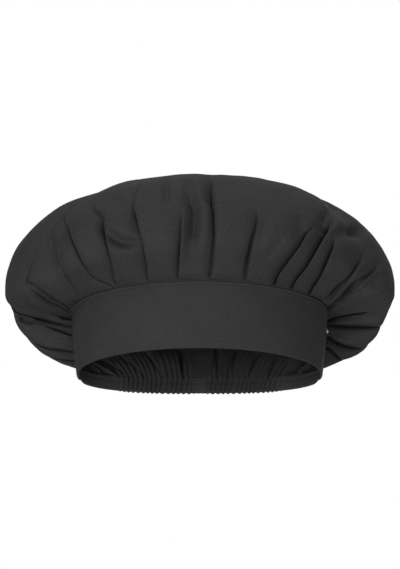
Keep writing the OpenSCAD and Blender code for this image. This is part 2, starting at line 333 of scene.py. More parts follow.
def woven_material(name, base, pitch, roughness, sheen):
    """Cloth with a weave of a real pitch, soft blotches of wear and a little fuzz."""
    material, tree, shader = new_material(name)
    place = add_node(tree, "ShaderNodeUVMap", uv_map="flat_cloth").outputs["UV"]
    rib = add_ribs(tree, place, pitch, "X", {"Distortion": 0.6, "Detail": 1.0, "Detail Scale": 0.6},
                   TWILL_ANGLE)
    weft = add_ribs(tree, place, pitch / WEFT_CLOSER, "Y", {"Distortion": 0.4})
    weave = add_math(tree, "MULTIPLY", rib, add_math(tree, "MULTIPLY_ADD", weft, WEFT_RELIEF, WEFT_LEAST))
    fuzz = add_noise(tree, {"Vector": place, "Scale": 620.0, "Detail": 3.0})
    blotch = add_noise(tree, {"Vector": place, "Scale": 28.0, "Detail": 4.0, "Roughness": 0.6})
    soft_tone = add_math(tree, "ADD", add_math(tree, "MULTIPLY", fuzz, TONE_FUZZ),
                         add_math(tree, "MULTIPLY", blotch, TONE_BLOTCH))
    tone = add_math(tree, "ADD", add_math(tree, "MULTIPLY", weave, TONE_WEAVE), soft_tone)
    height = add_math(tree, "ADD", weave, add_math(tree, "MULTIPLY", fuzz, FUZZ_RELIEF))
    rough = add_node(tree, "ShaderNodeMapRange", {"Value": fuzz, "To Min": roughness - ROUGHNESS_SPREAD,
                                                 "To Max": min(1.0, roughness + ROUGHNESS_SPREAD)})
    dark, light = (TONE_DARK, shade(base, DARK_SHARE)), (TONE_LIGHT, shade(base, LIGHT_SHARE))
    set_inputs(tree, shader, {
        "Base Color": add_ramp(tree, tone, dark, light),
        "Normal": add_bump(tree, height, CLOTH_BUMP),
        "Roughness": rough.outputs[0],
        "Specular IOR Level": 0.06,
        "Sheen Weight": sheen,
        "Sheen Roughness": 0.6,
    })
    return material


TWILL_BLACK = (0.042, 0.042, 0.043)
# The topstitch thread is as black as the twill: its lighter colour here is a painted sheen
THREAD_GREY_PAINTED_SHEEN = (0.085, 0.085, 0.086)
ELASTIC_BLACK = (0.02, 0.02, 0.02)
INTERLINING_GREY = (0.55, 0.55, 0.52)
RIBBON_WHITE = (0.75, 0.75, 0.73)

twill = woven_material("black_twill", TWILL_BLACK, pitch=1.4 * MM, roughness=0.92, sheen=0.0)
thread = woven_material("thread", THREAD_GREY_PAINTED_SHEEN, pitch=0.35 * MM, roughness=0.6, sheen=0.05)
tack_thread = woven_material("tack_thread", TWILL_BLACK, pitch=0.35 * MM, roughness=0.6, sheen=0.05)

SOLID_BUMP = 0.2 * MM
SOLID_DARK_SHARE, SOLID_LIGHT_SHARE = 0.8, 1.15


def cad_material(name, base, pitch, roughness):
    """Cloth on a carried-over solid, which has no flat cloth: ribs and fibres by its place in the part."""
    material, tree, shader = new_material(name)
    place = add_node(tree, "ShaderNodeTexCoord").outputs["Object"]
    rib = add_ribs(tree, place, pitch, "Z", {"Distortion": 0.5})
    fibre = add_noise(tree, {"Vector": place, "Scale": 700.0, "Detail": 4.0})
    tone = add_math(tree, "MULTIPLY", add_math(tree, "ADD", rib, fibre), 1 / 2)
    dark, light = (0.2, shade(base, SOLID_DARK_SHARE)), (0.8, shade(base, SOLID_LIGHT_SHARE))
    set_inputs(tree, shader, {
        "Base Color": add_ramp(tree, tone, dark, light),
        "Normal": add_bump(tree, tone, SOLID_BUMP),
        "Roughness": roughness,
    })
    return material


def set_cad_material(node, material):
    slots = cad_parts[node].data.materials
    slots.clear()
    slots.append(material)


set_cad_material("band_interlining", cad_material("interlining", INTERLINING_GREY, 1.5 * MM, roughness=0.9))
set_cad_material("rear_elastic", cad_material("elastic", ELASTIC_BLACK, 0.8 * MM, roughness=0.7))

# The plain crown, before its folds

# Length along the crown's sewn edge: the band's top, then down the band's end, then the casing
BAND_LEAVE = BAND_END + JOIN_W / 3
BAND_SEAM_Z = BAND_H + 0.3 * MM
END_DROP = BAND_SEAM_Z - CASING_H
HEM_EDGE = BAND_END + END_DROP
HALF_EDGE = HEM_EDGE + HALF_RIM - BAND_LEAVE
# Angle from the front of the widest line, at the ends of these stretches
EDGE_MARKS = [0, BAND_END, HEM_EDGE, HALF_EDGE]
EDGE_ANGLES = [math.radians(a) for a in (0, 98, 117, 180)]
# How the widest line drops from the front, and the cosines at which it is at the hips and rises again
FRONT_DROP = 1.5
HIP_BY = 0.5
REAR_FROM = 0.55
# Share of the way from the seam to the top at which the crown is widest
WIDEST = 0.24
# How steeply the cloth leaves the seam, against the straight way to the widest line
LEAVE_SHARE = 1.2
HIP_LEAVE_LESS = 0.35
REAR_LEAVE_MORE = 0.6
# How long it holds that way, and how long it is upright below the widest line
BEND_SHARE = 0.4
REAR_BEND_LESS = 0.65
UPRIGHT_SHARE = 0.6
UPRIGHT_LEAST = 9 * MM
# Shares of the crown's reach behind at which its hips are full and its back begins
HIP_FULL = 0.4
BACK_FROM = 0.6
# The dome is squarer towards the sides
SIDE_POWER = 4


def wrap_edge(edge):
    return (edge + HALF_EDGE) % (2 * HALF_EDGE) - HALF_EDGE


def seam_point(edge, tuck=0.0):
    """Point of the crown's sewn edge; tuck is how far it goes on in the band, and a third in the casing."""
    reach = np.abs(edge)
    side = np.where(edge < 0, -1.0, 1.0)
    run = np.where(reach <= HEM_EDGE, np.minimum(reach, BAND_LEAVE), BAND_LEAVE + reach - HEM_EDGE)
    z = BAND_SEAM_Z - np.clip(reach - BAND_END, 0, END_DROP)
    if tuck:
        held = reach <= HEM_EDGE
        run = np.where(held, np.minimum(run, BAND_END - tuck), run)
        z = np.where(held, np.minimum(z, BAND_SEAM_Z - tuck), z - tuck / 3)
    return on_rim(side * run, z, 0.0)


def widest_point(edge):
    """Point of the crown's widest line, above a point of its sewn edge."""
    angle = np.sign(edge) * np.interp(np.abs(edge), EDGE_MARKS, EDGE_ANGLES)
    x, y = oval(angle, CROWN_HALF_W, CROWN_FRONT, CROWN_REAR, CROWN_SQUARENESS)
    ahead = np.cos(angle)
    for middle, half_w, depth in HANG_BACKS:
        hang = depth * bell(angle - middle, half_w)
        x, y = x - hang * np.sin(angle), y + hang * ahead
    z = (WIDEST_SIDE_Z
         + (WIDEST_FRONT_Z - WIDEST_SIDE_Z) * np.maximum(0, ahead) ** FRONT_DROP
         + (WIDEST_HIP_Z - WIDEST_SIDE_Z) * smooth_step(0, HIP_BY, -ahead)
         + (WIDEST_REAR_Z - WIDEST_HIP_Z) * smooth_step(REAR_FROM, 1.0, -ahead))
    return np.stack([x + CROWN_ASIDE, y, z], axis=-1)


def plain_crown(edge, rise):
    """Point of the crown without folds, at a length along its edge and a share of the way up to its top."""
    edge, rise = np.broadcast_arrays(wrap_edge(np.asarray(edge, float)), rise)
    seam, widest = seam_point(edge), widest_point(edge)
    chord = widest - seam
    out = np.hypot(chord[..., 0], chord[..., 1])
    length = np.linalg.norm(chord, axis=-1)
    behind = widest[..., 1] / CROWN_REAR
    back = smooth_step(BACK_FROM, 1.0, behind)
    hip = smooth_step(0, HIP_FULL, behind) * (1 - back)
    slope = LEAVE_SHARE - HIP_LEAVE_LESS * hip + REAR_LEAVE_MORE * back
    slope = slope * np.arctan2(chord[..., 2], out)
    way = chord * np.array([1.0, 1.0, 0.0]) / np.maximum(out, TINY)[..., None]
    upright = np.array([0, 0, 1.0])
    leave = way * np.cos(slope)[..., None] + upright * np.sin(slope)[..., None]
    first = seam + leave * (BEND_SHARE * length)[..., None]
    arrive = np.minimum(BEND_SHARE * length, UPRIGHT_SHARE * np.maximum(chord[..., 2], 0) + UPRIGHT_LEAST)
    arrive *= 1 - REAR_BEND_LESS * back
    second = widest - upright * arrive[..., None]
    t = np.clip(rise / WIDEST, 0, 1)[..., None]
    under = ((1 - t) ** 3 * seam + 3 * (1 - t) ** 2 * t * first
             + 3 * (1 - t) * t ** 2 * second + t ** 3 * widest)
    s = np.clip((rise - WIDEST) / (1 - WIDEST), 0, 1)[..., None] * math.pi / 2
    fullness = DOME_FULLNESS + SIDE_FULLNESS * (widest[..., :1] / CROWN_HALF_W) ** SIDE_POWER
    level = np.maximum(np.cos(s), 0) ** (2 / fullness)
    climb = np.sin(s) ** (2 / fullness)
    dome = np.concatenate([CROWN_TIP[:2] + (widest[..., :2] - CROWN_TIP[:2]) * level,
                           widest[..., 2:] + (CROWN_TIP[2] - widest[..., 2:]) * climb], axis=-1)
    return np.where(rise[..., None] < WIDEST, under, dome)


# Just below the top, where all edges meet
NEAR_TOP = 0.995


def crown_frame(edge, rise):
    """Directions along the crown and out of it."""
    step_e, step_r = 0.4 * MM, 0.002
    low, high = np.maximum(rise - step_r, 0.0), np.minimum(rise + step_r, NEAR_TOP)
    along = plain_crown(edge + step_e, rise) - plain_crown(edge - step_e, rise)
    up = plain_crown(edge, high) - plain_crown(edge, low)
    return unit(along), unit(np.cross(along, up))


# Pixels cast onto the plain crown

CAST_COLS, CAST_ROWS = 640, 220
CAST_TOP = 0.99
cast_edges = np.linspace(-HALF_EDGE, HALF_EDGE, CAST_COLS, endpoint=False)
cast_rises = np.linspace(0, CAST_TOP, CAST_ROWS)
cast_points = plain_crown(cast_edges[None, :], cast_rises[:, None]).reshape(-1, 3)
cast_tree = BVHTree.FromPolygons(cast_points.tolist(), ring_faces(CAST_ROWS, CAST_COLS))
# A pixel just below the seam is taken a little higher
CAST_LIFT_PX = 0.5
CAST_LIFTS = 18
NEAREST_STEPS = 3


def nearest_on_crown(place, edge, rise):
    """Edge and rise of a point of the plain crown, from a guess close by, and the point itself."""
    step_e, step_r = 0.5 * MM, 0.003
    start = plain_crown(np.array([edge]), np.array([rise]))[0]
    along = plain_crown(np.array([edge + step_e]), np.array([rise]))[0] - start
    up = plain_crown(np.array([edge]), np.array([rise + step_r]))[0] - start
    move = np.linalg.lstsq(np.stack([along, up], axis=1), place - start, rcond=None)[0]
    move = np.clip(move, -NEAREST_STEPS, NEAREST_STEPS)
    return edge + move[0] * step_e, max(0.0, rise + move[1] * step_r), place


def cast_pixel(x, y, inside):
    """Edge, rise and point where a pixel, or the next one above it, shows the crown's inside or outside."""
    for lift in range(CAST_LIFTS):
        ray = pixel_ray(x, y - lift * CAST_LIFT_PX)
        place, normal, face, _ = cast_tree.ray_cast(camera_place, ray)
        if place is not None and (normal.dot(ray) > 0) == inside:
            row, col = divmod(face, CAST_COLS)
            edge = cast_edges[col] + HALF_EDGE / CAST_COLS
            return nearest_on_crown(np.array(place), edge, cast_rises[row])
    return None


PATH_STEPS = 6


def smooth_path(pixels):
    """Points of a smooth curve through pixels, in short steps."""
    points = np.asarray(pixels, float)
    padded = np.vstack([2 * points[0] - points[1], points, 2 * points[-1] - points[-2]])
    curve = []
    for a, b, c, d in zip(padded[:-3], padded[1:-2], padded[2:-1], padded[3:]):
        for t in np.arange(PATH_STEPS) / PATH_STEPS:
            bend = (2 * a - 5 * b + 4 * c - d) * t + (3 * b - a - 3 * c + d) * t * t
            curve.append(b + 0.5 * t * (c - a + bend))
    return curve + [points[-1]]


def cast_path(pixels, inside):
    """Where a path of pixels falls on the plain crown."""
    hits = [cast_pixel(x, y, inside) for x, y in smooth_path(pixels)]
    return [hit for hit in hits if hit is not None]


# Folds, from the sewn edge up: pixels of the crease, its depth and lap in mm, which side lies over (1 is the
# right seen from outside, -1 the left, 0 neither), the width in mm of its gentle side, its height against
# that of its last pixel, the width in mm of its steep side, and the share of its depth at the seam

Fold = namedtuple("Fold", "path depth lap over gentle beyond steep start", defaults=(1.0, 1.2, 0.5))

OUTSIDE_FOLDS = [
    # Front, left to right
    Fold([(85, 302), (72, 285), (60, 266), (50, 238)], 3.0, 0.3, 1, 6, 1.0, 4.0),
    Fold([(109, 284), (99, 281), (90, 274), (81, 261), (73, 244), (66, 225), (62, 217)],
         8.0, 0.8, 1, 16, 1.0, 2.4),
    Fold([(113, 280), (110, 263), (106.5, 249), (103.5, 235), (101, 216), (95, 210)],
         7.0, 1.2, 1, 12, 1.05, 1.6),
    Fold([(147, 281), (144, 259), (139.5, 238), (135, 219), (132, 207), (134, 199)], 8.0, 1.6, 1, 8, 1.25),
    Fold([(177, 280), (177.5, 260), (179, 240), (180.5, 215)], 5.0, 1.4, 1, 3, 1.0, 0.9),
    Fold([(209, 280), (211, 262), (213, 239), (213, 217), (211, 196), (210.5, 182)],
         8.0, 1.4, 1, 8, 1.18, 1.8),
    Fold([(244.5, 282), (247, 263), (252, 241), (256.5, 222), (257, 214)], 7.0, 1.6, 1, 5, 1.0, 0.9),
    Fold([(273.5, 287), (277, 275), (287, 260), (297, 247), (304, 235), (309, 230)],
         14.5, 3.0, 1, 22, 1.05, 1.4),
    Fold([(290.5, 291), (295, 280), (305, 266), (316.5, 247), (325, 233), (333, 222)],
         14.5, 3.0, 1, 16, 1.05, 1.4),
    Fold([(307, 298), (312, 288), (320, 273.5), (327, 258), (332, 247)], 12.5, 3.0, 1, 14, 1.1, 1.4),
    Fold([(319, 304), (329, 297.5), (341, 286.5), (352, 273), (360, 261)], 9.0, 3.0, 1, 12, 1.05, 2.0),
    # Right side, from the corner of the band down its end
    Fold([(327, 311), (333, 304), (343, 296.5), (354, 285.5), (364, 278), (372, 272)],
         8.0, 3.0, 1, 8, 1.05),
    Fold([(329, 320), (338, 316.5), (350, 314.5), (365, 312), (380, 307)],
         18.0, 0.3, -1, 5, 1.5, 1.4, 0.3),
    Fold([(330, 325), (340, 326), (352, 326.5), (365, 326.5), (381, 327)],
         14.0, 0.3, -1, 3, 1.0, 1.4, 0.3),
    Fold([(329, 337), (336, 342), (347, 346), (358, 348)], 14.0, 0.3, -1, 5, 1.2, 1.4, 0.3),
    Fold([(328, 347), (333, 352), (339, 358)], 9.0, 0.4, -1, 5, 1.4),
    # Left side, from the corner of the band down its end
    Fold([(70, 309.5), (62, 302.5), (46, 294.5), (34, 287), (23, 280.5), (14, 271)],
         4.0, 0.4, -1, 4, 1.0, 0.9),
    Fold([(71, 313), (62, 307), (47, 299.5), (35, 292.5), (25, 286.5)], 3.4, 0.4, -1, 4, 1.0, 0.9),
    Fold([(70, 319), (60, 317), (50, 312.5)], 4.5, 0.4, -1, 3, 1.0, 1.2, 0.3),
    Fold([(70, 326), (58, 323.5), (45, 320), (33, 317), (20, 313.5)], 14.0, 0.6, 1, 4.5, 1.6, 1.2, 0.1),
    Fold([(71, 335), (62, 331.5), (52, 328)], 4.5, 0.4, -1, 3, 1.2, 1.2, 0.3),
    Fold([(73, 351.5), (60, 350), (49, 348.5), (42, 346.5)], 7.0, 0.6, 1, 4, 1.4, 1.2, 0.3),
    Fold([(75, 361), (66, 360.5), (58, 359.5)], 5.0, 0.6, 1, 3, 1.4, 1.2, 0.3),
]

# Inside, above the hem, a crease that is dark from inside stands out behind: its pixels and height in mm
INSIDE_CREASES = [
    ([(131, 385), (115, 374), (100, 366)], 4.8),
    ([(140, 384), (125, 372), (112, 362)], 4.3),
    ([(152, 383), (140, 370), (128, 358)], 4.8),
    ([(163, 380), (158, 368), (150, 354)], 5.2),
    ([(184, 384), (182, 368), (182, 351)], 7.2),
    ([(214, 384), (217, 368), (217, 351)], 5.6),
    ([(226, 384), (231, 368), (235, 351)], 4.8),
    ([(243, 383), (250, 368), (257, 353)], 5.0),
    ([(263, 385), (270, 370), (275, 357)], 4.8),
    ([(280, 384), (292, 372), (300, 365)], 4.8),
]
INSIDE_FOLDS = [Fold(path, -height, lap=0, over=0, gentle=5, beyond=1.7)
                for path, height in INSIDE_CREASES]

# Soft dents in the cloth: pixels of the valley, its depth and half width in mm
Dent = namedtuple("Dent", "path depth width")

PHOTO_DENTS = [
    Dent([(101, 223), (108, 232), (116, 238.5), (127, 242.5), (143, 243.5)], 9.0, 4.5),
    Dent([(331, 237), (343, 234), (354, 232.5), (366, 227)], 6.5, 5.0),
    Dent([(188, 182), (191, 196), (193, 206), (194, 216), (193, 229), (192, 243), (191, 260)], 12.0, 4.8),
    Dent([(166, 178), (166, 192), (166, 206)], 4.0, 2.6),
    Dent([(208, 172), (210, 186), (211.5, 204)], 4.5, 5.5),
    Dent([(336, 203), (329, 216), (320, 235)], 7.5, 5.5),
    Dent([(285, 233), (276, 246), (266, 262)], 1.8, 2.8),
    Dent([(267, 214), (262, 232), (259, 248)], 1.6, 2.6),
    Dent([(112, 196), (118, 203), (124, 211)], 2.0, 4.5),
    Dent([(46, 230), (49, 243), (55, 264)], 2.6, 3.2),
    Dent([(345, 300), (358, 291), (372, 284), (384, 279)], 5.0, 4.0),
    Dent([(36, 321), (27, 320), (18, 318)], 6.0, 4.0),
    Dent([(296, 214), (300, 224), (296, 236)], 3.0, 6.0),
]

# Gathers behind the band, which the photograph doesn't show: length along the edge, depth and lean in mm
HIDDEN_GATHERS = [(-262, 4.0, -3), (-247, 4.6, 2), (-233, 4.0, 4),
                  (233, 4.2, -4), (248, 4.6, -2), (262, 4.0, 3)]
GATHER_TOP = 0.5
GATHER_W = 8 * MM
GATHER_START = 0.5

# Past its last pixel a crease keeps its direction for a while
RUN_ON = 0.1
RUN_ON_MOST = 1.2
LEAST_RISE = 0.01
# Each point of a path lies at least this much higher than the last
RISE_STEP = 1e-6

Crease = namedtuple("Crease", "rises edges depth lap over gentle steep start top lean")


def photo_crease(fold, inside):
    """A fold of the photograph as a crease on the plain crown."""
    hits = cast_path(fold.path, inside)
    edges = np.unwrap([h[0] for h in hits], period=2 * HALF_EDGE)
    rises = np.maximum.accumulate([h[1] for h in hits]) + np.arange(len(hits)) * RISE_STEP
    lean = (edges[-1] - edges[-PATH_STEPS]) / max(rises[-1] - rises[-PATH_STEPS], LEAST_RISE)
    lean = np.clip(lean, -RUN_ON_MOST, RUN_ON_MOST)
    return Crease(rises, edges, fold.depth * MM, fold.lap * MM, fold.over, fold.gentle * MM,
                  fold.steep * MM, fold.start, rises[-1] * fold.beyond, lean)


def hidden_crease(edge, depth, lean):
    rises = np.array([0, GATHER_TOP])
    edges = np.array([edge, edge + lean]) * MM
    return Crease(rises, edges, depth * MM, lap=0.0, over=0, gentle=GATHER_W, steep=GATHER_W,
                  start=GATHER_START, top=GATHER_TOP, lean=0.0)


creases = [photo_crease(fold, False) for fold in OUTSIDE_FOLDS]
creases += [photo_crease(fold, True) for fold in INSIDE_FOLDS]
creases += [hidden_crease(*gather) for gather in HIDDEN_GATHERS]
creases.sort(key=lambda crease: wrap_edge(crease.edges[0]))

# The rows of the crown's mesh, closer together at the seam, and where each crease crosses them
UNDER_ROWS, DOME_ROWS = 90, 110
SEAM_CROWDING = 1.15
LAST_ROW = 0.985
row_rises = np.concatenate([WIDEST * np.linspace(0, 1, UNDER_ROWS, endpoint=False) ** SEAM_CROWDING,
                            WIDEST + (LAST_ROW - WIDEST) * np.linspace(0, 1, DOME_ROWS)])
FOLD_GAP = 1.4 * MM

crease_edges = []
for crease in creases:
    line = np.interp(row_rises, crease.rises, crease.edges)
    past = np.maximum(row_rises - crease.rises[-1], 0)
    line = line + crease.lean * RUN_ON * (1 - np.exp(-past / RUN_ON))
    line = line - crease.edges[0] + wrap_edge(crease.edges[0])
    if crease_edges:
        line = np.maximum(line, crease_edges[-1] + FOLD_GAP)
    crease_edges.append(line)
crease_edges.append(crease_edges[0] + 2 * HALF_EDGE)

# A crease grows from the seam, is full in its lower half and fades out about its top
EDGE_FADE = 0.02
GROWN_AT, FADE_FROM, FADE_END = 0.4, 0.62, 1.14


def crease_size(crease):
    """Share of a crease's depth along the rows."""
    start = smooth_step(0, EDGE_FADE, row_rises)
    growth = crease.start + (1 - crease.start) * smooth_step(0, GROWN_AT * crease.top, row_rises)
    end = 1 - smooth_step(FADE_FROM * crease.top, FADE_END * crease.top, row_rises)
    return start * growth * end


# The columns of a panel, which is the cloth between two creases
PANEL_STEP = 1.2 * MM
CLOSE_REACH = 2.0 * MM
CLOSE_GAIN = 4.0
LEAST_COLS, MOST_COLS = 8, 60
FINE_STEPS = 400


def panel_shares(width):
    """Shares of a panel's width for its columns, closer together beside a crease."""
    fine = np.linspace(0, 1, FINE_STEPS)
    close = np.exp(-fine * width / CLOSE_REACH) + np.exp(-(1 - fine) * width / CLOSE_REACH)
    density = 1 + CLOSE_GAIN * close
    total = np.concatenate([[0], np.cumsum((density[1:] + density[:-1]) / 2)])
    count = math.ceil(total[-1] / FINE_STEPS * width / PANEL_STEP)
    count = int(np.clip(count, LEAST_COLS, MOST_COLS))
    return np.interp(np.arange(count) / count * total[-1], total, fine)


# The side that lies over a crease stands up by this share of the depth, and comes down again
LIFT_SHARE = 0.7
RIDGE_FADE = 8 * MM
# A flank takes up no more than this share of a panel; it is narrow at the seam, and wider further up
FLANK_MOST = 0.7
FLANK_START = 0.3
FLANK_FULL = 0.12
# A panel puffs out between its creases, below the widest part
PUFF_SHARE = 0.09
PUFF_MOST = 3.0 * MM
PUFF_SPAN = (0, 0.04, 0.26, 0.5)
# A lapped side first turns back over the crease, and then lies flat again; a narrow panel laps less
LAP_TURN = 1.8 * MM
LAP_FADE = 2.2 * MM
UNDERLAP_FADE = 4.5 * MM
LAP_ROOM = 9 * MM
# The bottom of a crease is sharp, most of all under a lap
LAPPED_CORE, OPEN_CORE = 0.4, 0.1
CORE_REACH = 1.1 * MM


def ridge(distance, reach):
    """Share of its height that the side lying over a crease has, at a distance from the crease."""
    return (1 - np.exp(-distance / reach)) * np.exp(-distance / RIDGE_FADE)


def lapping(distance):
    return (1 - distance / LAP_TURN) * np.exp(-distance / LAP_FADE)


def dip(crease, distance, reach):
    """Share of a crease's depth at a distance from its bottom."""
    core = LAPPED_CORE if crease.over else OPEN_CORE
    sharp = np.exp(-distance / np.minimum(reach, CORE_REACH))
    return core * sharp + (1 - core) * np.exp(-distance / reach)


def flank(crease, side, width):
    """Width along the rows of a crease's flank, in the panel on its right (1) or its left (-1)."""
    if crease.over:
        reach = crease.steep if crease.over == side else crease.gentle
    else:
        reach = crease.gentle / 2
    narrow = FLANK_START + (1 - FLANK_START) * smooth_step(0, FLANK_FULL, row_rises)
    return np.minimum(reach * narrow, FLANK_MOST * width)


def beside(crease, side, size, reach, share, width):
    """Height and slide of the cloth at a share of a panel's width away from a crease, on one side of it."""
    distance = share * width
    depth = crease.depth * size
    height = -depth * dip(crease, distance, reach)
    turn = -np.exp(-distance / UNDERLAP_FADE)
    if crease.over == side:
        height += LIFT_SHARE * depth * (1 - share) * ridge(distance, reach)
        turn = lapping(distance)
    return height, side * crease.lap * size * turn * np.minimum(1, width / LAP_ROOM)


columns, panel_starts = [], []
puff_fade = smooth_window(*PUFF_SPAN, row_rises)
for k, crease in enumerate(creases):
    after = creases[(k + 1) % len(creases)]
    left, right = crease_edges[k], crease_edges[k + 1]
    width = np.linalg.norm(plain_crown(right, row_rises) - plain_crown(left, row_rises), axis=-1)
    size_here, size_next = crease_size(crease), crease_size(after)
    rising, falling = flank(crease, 1, width), flank(after, -1, width)
    puff = np.minimum(PUFF_SHARE * width, PUFF_MOST) * puff_fade
    panel_starts.append(len(columns))
    for share in panel_shares(width[UNDER_ROWS // 2]):
        height_here, slide_here = beside(crease, 1, size_here, rising, share, width)
        height_next, slide_next = beside(after, -1, size_next, falling, 1 - share, width)
        edge = left + (right - left) * share
        height = 4 * share * (1 - share) * puff + height_here + height_next
        columns.append((edge, height, slide_here + slide_next))

crown_edges, crown_heights, crown_slides = np.array(columns).transpose(1, 2, 0).copy()
crown_rises = np.broadcast_to(row_rises[:, None], crown_edges.shape)
crown_plain = plain_crown(crown_edges, crown_rises)
crown_along, crown_out = crown_frame(crown_edges, crown_rises)


def path_distance(points, path):
    """Distance of each point from a line of points, and the share of the line at which it is closest."""
    best = np.full(points.shape[:-1], np.inf)
    share = np.zeros(points.shape[:-1])
    for k, (a, b) in enumerate(zip(path[:-1], path[1:])):
        ab = b - a
        t = np.clip(((points - a) @ ab) / (ab @ ab), 0, 1)
        away = np.linalg.norm(points - a - t[..., None] * ab, axis=-1)
        share = np.where(away < best, (k + t) / (len(path) - 1), share)
        best = np.minimum(best, away)
    return best, share


DENT_STEPS = 3
# A dent is shallower at the ends of its path, down to this share of its depth
DENT_SPAN = (0, 0.3, 0.7, 1)
DENT_END_DEPTH = 0.25

for dent in PHOTO_DENTS:
    hits = cast_path(dent.path, False)
    away, share = path_distance(crown_plain, [hit[2] for hit in hits[:-1:DENT_STEPS] + hits[-1:]])
    fade = DENT_END_DEPTH + (1 - DENT_END_DEPTH) * smooth_window(*DENT_SPAN, share)
    hollow = bell(away, dent.width * MM) * fade * smooth_step(0, EDGE_FADE, crown_rises)
    crown_heights -= dent.depth * MM * hollow

# The cloth dips where it goes into the seam
SEAM_DIP = 0.8 * MM
SEAM_DIP_RISE = 0.007
SEAM_HELD = 0.003
crown_heights -= SEAM_DIP * bell(crown_rises, SEAM_DIP_RISE) * smooth_step(0, SEAM_HELD, crown_rises)


def wrinkles(points, count, longest, shortest):
    """Low waves in many directions, about 1 high together."""
    total = np.zeros(points.shape[:-1])
    for _ in range(count):
        way = rng.normal(size=3)
        way *= 2 * math.pi / rng.uniform(shortest, longest) / np.linalg.norm(way)
        total += np.sin(points @ way + rng.uniform(0, 2 * math.pi))
    return total / math.sqrt(count)


# Wrinkles of the loose cloth: how many, the longest and the shortest, and their height
WRINKLES = [(12, 70 * MM, 35 * MM, 0.55 * MM), (14, 26 * MM, 12 * MM, 0.14 * MM)]
LOOSE_FROM = 0.08
loose = smooth_step(0, LOOSE_FROM, crown_rises)
for count, longest, shortest, height in WRINKLES:
    crown_heights += wrinkles(crown_plain, count, longest, shortest) * height * loose

# Small puckers along the seam, which carry on the ruffles of the elasticated hem

RUFFLE_OUT = 2.8 * MM
RUFFLE_PITCH = 4.0 * MM
# The ruffles are uneven: turns added to them, and the lengths along the rim over which these come and go
RUFFLE_DRIFTS = [(0.9, 7.3 * MM), (0.6, 3.1 * MM)]
RUFFLE_ENDS = 3 * MM
RUFFLE_PAST = 13 * MM
FLAT_PATCH = 6.5 * MM
FLAT_PATCH_LESS = 0.8
SEAM_PUCKER = 0.22 * MM
HEM_PUCKER = 1.4 * MM
HEM_PUCKER_LEAST = 0.2
PUCKER_PITCH = 5.2 * MM
PUCKER_DRIFT, PUCKER_DRIFT_LEN = 1.5, 23 * MM
PUCKER_FULL = 0.012
PUCKER_FADE = 0.07


def ruffle_turn(from_back):
    """Phase of the ruffles at a length along the rim from the middle of the back."""
    turn = 2 * math.pi * from_back / RUFFLE_PITCH
    for drift, length in RUFFLE_DRIFTS:
        turn = turn + drift * np.sin(from_back / length)
    return turn


def ruffle_size(from_back):
    """Strength of the ruffles: fading past the elastic, and little at the flat patch in the middle."""
    half = ELASTIC_LEN / 2
    drawn = 1 - smooth_step(half - RUFFLE_ENDS, half + RUFFLE_PAST, np.abs(from_back))
    return drawn * (1 - FLAT_PATCH_LESS * np.exp(-(from_back / FLAT_PATCH) ** 4))


seam_edges = wrap_edge(crown_edges)
seam_reach = np.abs(seam_edges)
seam_back = -np.sign(seam_edges) * (HALF_EDGE - seam_reach)
hem_pucker = np.sin(ruffle_turn(seam_back)) * (HEM_PUCKER_LEAST + ruffle_size(seam_back)) * HEM_PUCKER
pucker_turn = 2 * math.pi * crown_edges / PUCKER_PITCH
pucker_turn += PUCKER_DRIFT * np.sin(crown_edges / PUCKER_DRIFT_LEN)
pucker = np.where(seam_reach > HEM_EDGE, hem_pucker, np.sin(pucker_turn) * SEAM_PUCKER)
crown_heights += pucker * smooth_step(0, PUCKER_FULL, crown_rises) * np.exp(-crown_rises / PUCKER_FADE)

# In two places the folds stand out to the front, and a little down, rather than square to the cloth
FRONT_WAY = np.array([0, -0.98, -0.2])
# Beside the ends of the band, where they reach higher around its corners
END_SPAN = (146 * MM, 162 * MM, 214 * MM, 232 * MM)
END_TOP, END_FADE = 0.13, 0.13
CORNER_MORE = 0.08
CORNER_FADE = (180 * MM, 200 * MM)
end_top = END_TOP + CORNER_MORE * (1 - smooth_step(*CORNER_FADE, seam_reach))
at_end = smooth_window(*END_SPAN, seam_reach)
at_end = at_end * (1 - smooth_step(end_top, end_top + END_FADE, crown_rises))
# At the sides of the front, where each fold stands over the crease on its left
SIDE_SPAN = (28 * MM, 44 * MM, 92 * MM, 110 * MM)
SIDE_FADE = (0.3, 0.44)
at_side = smooth_window(*SIDE_SPAN, seam_reach)
at_side = at_side * (1 - smooth_step(*SIDE_FADE, crown_rises))
to_front = np.maximum(at_end, at_side)[..., None]
fold_way = unit(crown_out * (1 - to_front) + FRONT_WAY * to_front)

CROWN_TUCK = 7 * MM
TIP_CLOTH = 4 * MM
crown_points = crown_plain + fold_way * crown_heights[..., None] + crown_along * crown_slides[..., None]
tuck_row = seam_point(wrap_edge(crown_edges[0]), CROWN_TUCK)
crown_grid = np.concatenate([tuck_row[None], crown_points])
rows, cols = crown_grid.shape[:2]

tip_point = CROWN_TIP + np.array([0, 0, crown_heights[-1].mean()])
crown_vertices = np.vstack([crown_grid.reshape(-1, 3), tip_point])
last_row = (rows - 1) * cols
crown_faces = ring_faces(rows, cols)
crown_faces += [[last_row + c, last_row + (c + 1) % cols, rows * cols] for c in range(cols)]

